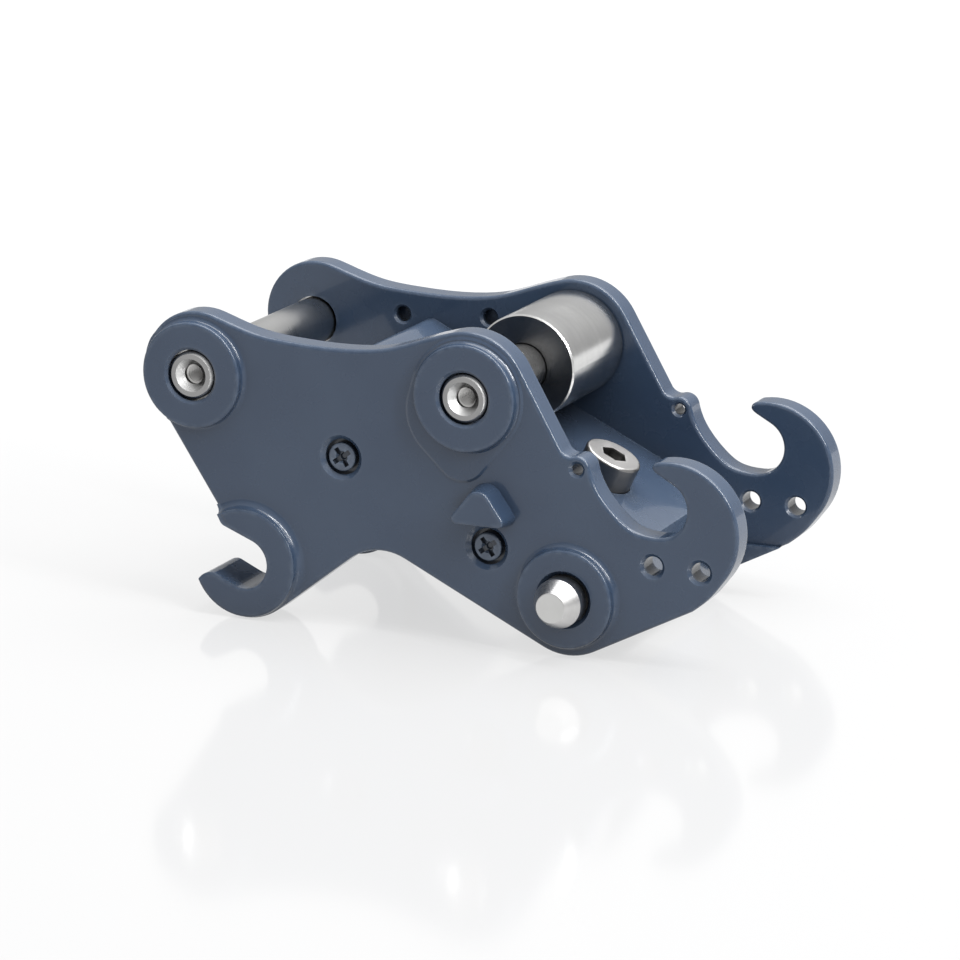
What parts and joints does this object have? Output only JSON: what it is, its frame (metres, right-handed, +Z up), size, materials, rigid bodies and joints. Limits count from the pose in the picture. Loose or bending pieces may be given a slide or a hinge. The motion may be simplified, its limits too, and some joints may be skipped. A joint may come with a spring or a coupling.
{
  "type": "quick coupler",
  "caption": "Model excavator quick coupler: hooked side plates round a sloping block, stick and link pins, loose sleeve, screw-driven lock pins.",
  "frame": {"origin": "middle of the footprint, on the ground under the hooks and the lock-pin lobes", "axes": "+X from the stick pin towards the rear hooks, +Y across the coupler, +Z up"},
  "size_m": [0.0778, 0.0474, 0.0385],
  "materials": {
    "paint": "semi-gloss slate grey paint",
    "pin_steel": "turned bright steel",
    "screw_steel": "bright stainless",
    "spring_steel": "plain steel",
    "dark_screw": "painted over with the frame"
  },
  "bodies": {
    "frame": {"side_plate_left": "paint", "side_plate_right": "paint", "center_block": "paint", "chamber_cover": "paint", "cover_screw_front_left": "dark_screw", "cover_screw_front_right": "dark_screw", "cover_screw_rear_left": "dark_screw", "cover_screw_rear_right": "dark_screw", "frame_screw_front_left": "dark_screw", "frame_screw_front_right": "dark_screw", "frame_screw_rear_left": "dark_screw", "frame_screw_rear_right": "dark_screw", "pin_spring_left": "spring_steel", "pin_spring_right": "spring_steel"},
    "stick_pin": {"stick_pin": "pin_steel"},
    "link_pin": {"link_pin": "pin_steel"},
    "sleeve": {"link_sleeve": "pin_steel"},
    "lock_pin_left": {"lock_pin_left": "pin_steel"},
    "lock_pin_right": {"lock_pin_right": "pin_steel"},
    "wedge": {"wedge_nut": "spring_steel"},
    "lock_screw": {"lock_screw": "screw_steel", "screw_clip": "spring_steel"}
  },
  "joints": [
    {"name": "wedge_slide", "type": "slide", "parent": "frame", "child": "wedge", "axis": [0.4384, 0, 0.8988], "range_m": [-0.004, 0]},
    {"name": "lock_screw_turn", "type": "hinge", "parent": "frame", "child": "lock_screw", "pos_m": [0.0141, 0, 0.01695], "axis": [0.4384, 0, 0.8988], "range_deg": [0, 2060]},
    {"name": "lock_pin_left_slide", "type": "slide", "parent": "frame", "child": "lock_pin_left", "axis": [0, 1, 0], "range_m": [0, 0.00401], "deforming": ["pin_spring_left"]},
    {"name": "lock_pin_right_slide", "type": "slide", "parent": "frame", "child": "lock_pin_right", "axis": [0, -1, 0], "range_m": [0, 0.00401], "deforming": ["pin_spring_right"]},
    {"name": "stick_pin_slide", "type": "slide", "parent": "frame", "child": "stick_pin", "axis": [0, -1, 0], "range_m": [0, 0.036]},
    {"name": "link_pin_slide", "type": "slide", "parent": "frame", "child": "link_pin", "axis": [0, -1, 0], "range_m": [0, 0.036]},
    {"name": "sleeve_slide", "type": "slide", "parent": "frame", "child": "sleeve", "axis": [0, -1, 0], "range_m": [0, 0.0136]}
  ],
  "couplings": [
    {"joint": "lock_screw_turn", "follows": "wedge_slide", "rad_per_m": -8976},
    {"joint": "lock_pin_left_slide", "follows": "wedge_slide", "ratio": -1},
    {"joint": "lock_pin_right_slide", "follows": "wedge_slide", "ratio": -1}
  ]
}
